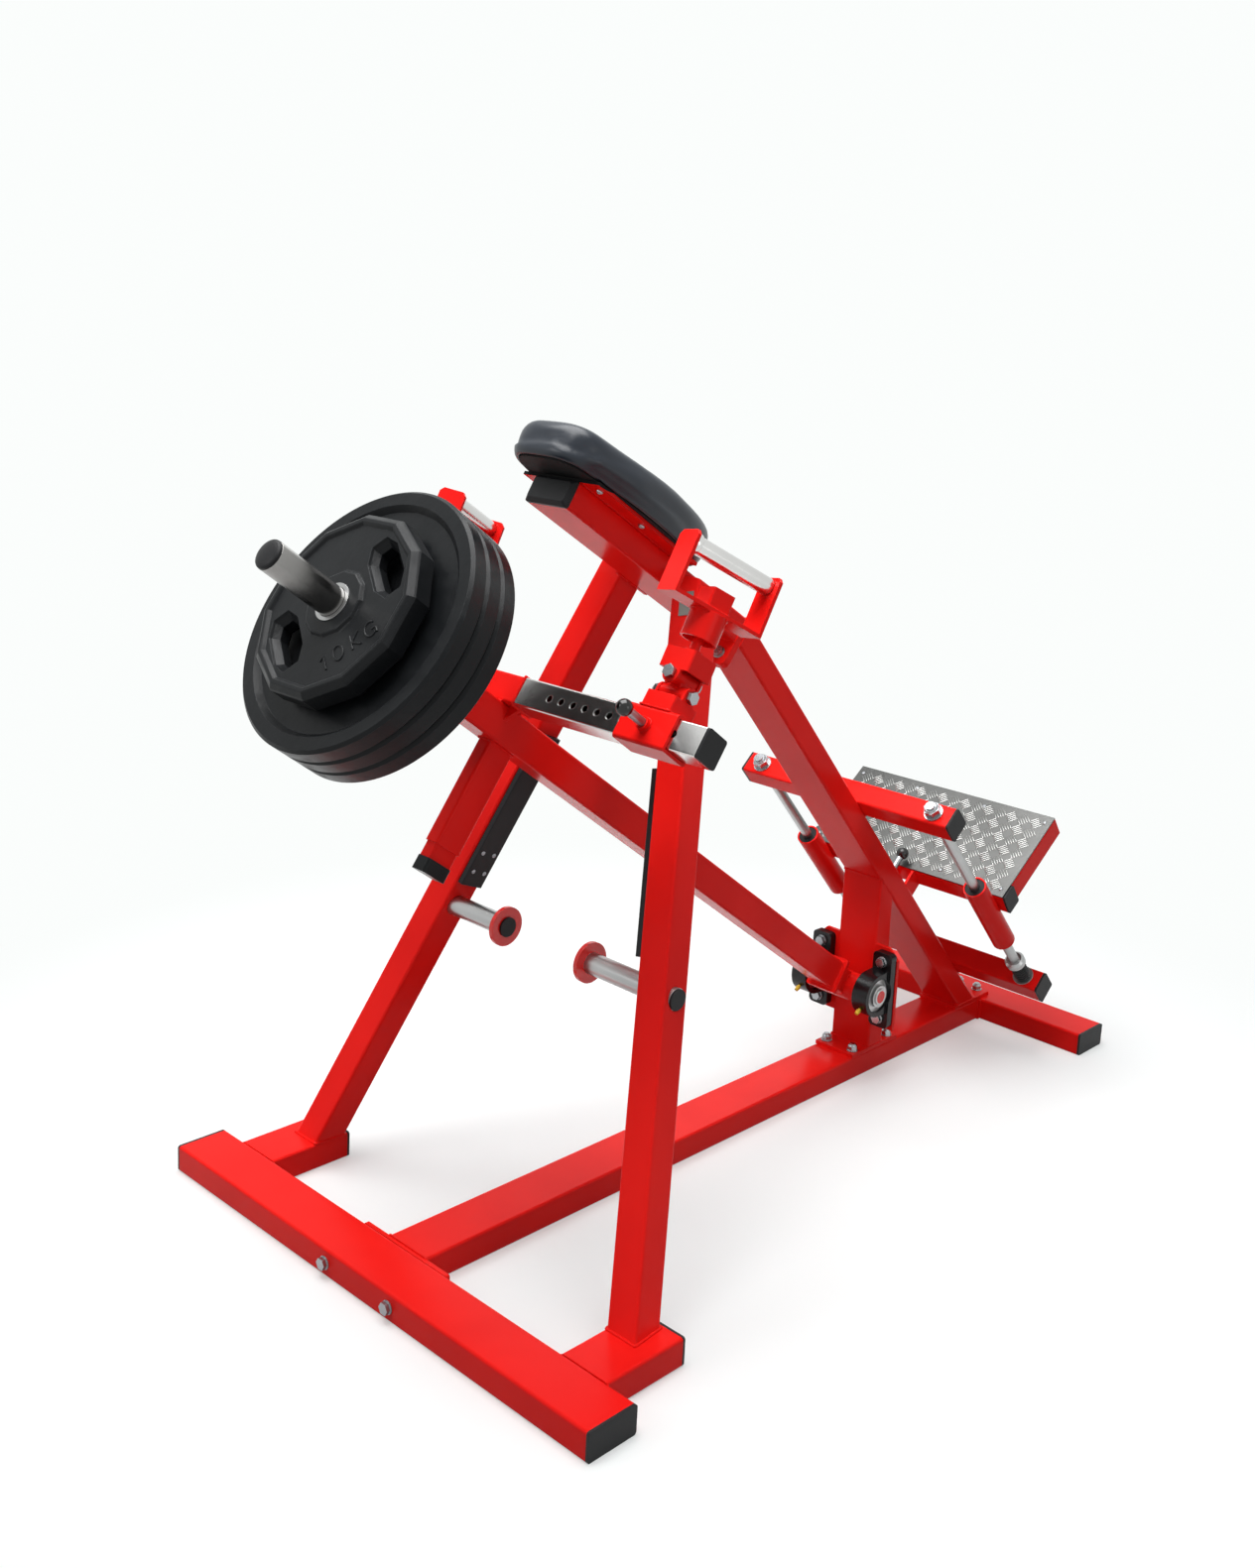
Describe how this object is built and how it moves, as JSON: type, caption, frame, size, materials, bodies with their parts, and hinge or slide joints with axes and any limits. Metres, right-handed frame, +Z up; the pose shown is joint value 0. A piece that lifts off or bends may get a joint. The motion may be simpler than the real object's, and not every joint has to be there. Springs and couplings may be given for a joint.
{
  "type": "chest-supported row machine",
  "caption": "Chest-supported row machine: a plate-loaded lever with two sliding, swivelling handles, an inclined chest pad and a sprung sliding foot platform.",
  "frame": {"origin": "on the floor, under the middle of the front cross tube", "axes": "+X is the machine's right side as seen from its back, +Y runs from the weight end to the back, +Z is up"},
  "size_m": [1.09, 2.0672, 1.4292],
  "materials": {
    "red_paint": "gloss powder coat",
    "black_plastic": "satin moulded plastic",
    "bearing_paint": "gloss enamel on cast iron",
    "zinc": "bright zinc plate",
    "steel": "turned",
    "chrome": "satin chrome",
    "rubber": "moulded",
    "vinyl": "grained upholstery vinyl",
    "board": "black painted plywood",
    "tread": "five-bar tread",
    "spring_black": "black coated wire",
    "cap_yellow": "moulded"
  },
  "bodies": {
    "frame": {"front_cross": "red_paint", "leg_stubs": "red_paint", "spine": "red_paint", "rear_cross": "red_paint", "post": "red_paint", "strut": "red_paint", "beam": "red_paint", "leg_left": "red_paint", "leg_right": "red_paint", "storage_pegs": "chrome", "peg_plugs": "black_plastic", "wear_strips": "black_plastic", "upper_crossbar": "red_paint", "lower_crossbar": "red_paint", "guide_rods": "chrome", "rod_nuts": "zinc", "buffer_collars": "steel", "buffer_springs": "spring_black", "floor_caps": "black_plastic", "bar_caps": "black_plastic", "beam_cap": "black_plastic", "frame_bolts": "zinc", "bearing_housings": "bearing_paint", "bearing_inserts": "steel", "grease_caps": "cap_yellow", "pad_board": "board", "chest_pad": "vinyl"},
    "lever": {"pivot_shaft": "steel", "lever_arm": "red_paint", "handle_rails": "chrome", "lever_caps": "black_plastic", "stop_leg": "red_paint", "stop_foot": "rubber", "weight_horn": "chrome"},
    "plates": {"plate_inner": "rubber", "plate_middle": "rubber", "plate_outer": "rubber", "small_plate": "rubber", "small_plate_bush": "steel"},
    "platform": {"platform_frame": "red_paint", "platform_sides": "red_paint", "slide_tubes": "red_paint", "tread_plate": "tread", "slide_bushes": "black_plastic", "platform_caps": "black_plastic"},
    "platform_pin": {"platform_pin": "black_plastic"},
    "sleeve_left": {"sleeve_left": "red_paint"},
    "sleeve_pin_left": {"sleeve_pin_left": "black_plastic"},
    "cross_block_left": {"cross_block_left": "red_paint", "link_bolts_left": "zinc"},
    "link_box_left": {"link_box_left": "red_paint"},
    "bracket_left": {"handle_bracket_left": "red_paint"},
    "grip_left": {"grip_left": "chrome"},
    "sleeve_right": {"sleeve_right": "red_paint"},
    "sleeve_pin_right": {"sleeve_pin_right": "black_plastic"},
    "cross_block_right": {"cross_block_right": "red_paint", "link_bolts_right": "zinc"},
    "link_box_right": {"link_box_right": "red_paint"},
    "bracket_right": {"handle_bracket_right": "red_paint"},
    "grip_right": {"grip_right": "chrome"}
  },
  "joints": [
    {"name": "lever", "type": "hinge", "parent": "frame", "child": "lever", "pos_m": [0, 1.2364, 0.207], "axis": [-1, 0, 0], "range_deg": [-30.1, 5]},
    {"name": "plates_slide", "type": "slide", "parent": "lever", "child": "plates", "axis": [0, -0.8151, 0.5793], "range_m": [0, 0.13]},
    {"name": "platform_slide", "type": "slide", "parent": "frame", "child": "platform", "axis": [0, -0.6743, 0.7385], "range_m": [-0.05, 0.175]},
    {"name": "platform_pin_pull", "type": "slide", "parent": "platform", "child": "platform_pin", "axis": [0, 0.7385, 0.6743], "range_m": [0, 0.01], "stiffness_N_per_m": 800, "springref_m": -0.01},
    {"name": "sleeve_slide_left", "type": "slide", "parent": "lever", "child": "sleeve_left", "axis": [-1, 0, 0], "range_m": [-0.134, 0.134]},
    {"name": "sleeve_pin_pull_left", "type": "slide", "parent": "sleeve_left", "child": "sleeve_pin_left", "axis": [0, -0.8151, 0.5793], "range_m": [0, 0.01], "stiffness_N_per_m": 800, "springref_m": -0.01},
    {"name": "link_tip_left", "type": "hinge", "parent": "sleeve_left", "child": "cross_block_left", "pos_m": [-0.2585, 0.27791, 1.04029], "axis": [1, 0, 0], "range_deg": [-29.7, 10.3]},
    {"name": "link_roll_left", "type": "hinge", "parent": "cross_block_left", "child": "link_box_left", "pos_m": [-0.2585, 0.28875, 1.06281], "axis": [0, 0.9011, -0.4337], "range_deg": [-20, 20]},
    {"name": "swivel_left", "type": "hinge", "parent": "link_box_left", "child": "bracket_left", "pos_m": [-0.2585, 0.33602, 1.16103], "axis": [0, 0.4337, 0.9011], "continuous": true},
    {"name": "grip_spin_left", "type": "hinge", "parent": "bracket_left", "child": "grip_left", "pos_m": [-0.2585, 0.37288, 1.23762], "axis": [-0.3469, 0.8451, -0.4067], "continuous": true},
    {"name": "sleeve_slide_right", "type": "slide", "parent": "lever", "child": "sleeve_right", "axis": [1, 0, 0], "range_m": [-0.2144, 0.0536]},
    {"name": "sleeve_pin_pull_right", "type": "slide", "parent": "sleeve_right", "child": "sleeve_pin_right", "axis": [0, -0.8151, 0.5793], "range_m": [0, 0.01], "stiffness_N_per_m": 800, "springref_m": -0.01},
    {"name": "link_tip_right", "type": "hinge", "parent": "sleeve_right", "child": "cross_block_right", "pos_m": [0.3389, 0.27791, 1.04029], "axis": [1, 0, 0], "range_deg": [-26, 14]},
    {"name": "link_roll_right", "type": "hinge", "parent": "cross_block_right", "child": "link_box_right", "pos_m": [0.3389, 0.29018, 1.06207], "axis": [0, 0.8712, -0.4909], "range_deg": [-20, 20]},
    {"name": "swivel_right", "type": "hinge", "parent": "link_box_right", "child": "bracket_right", "pos_m": [0.3389, 0.34369, 1.15703], "axis": [0, 0.4909, 0.8712], "continuous": true},
    {"name": "grip_spin_right", "type": "hinge", "parent": "bracket_right", "child": "grip_right", "pos_m": [0.3389, 0.38542, 1.23108], "axis": [0.2924, 0.8331, -0.4695], "continuous": true}
  ]
}
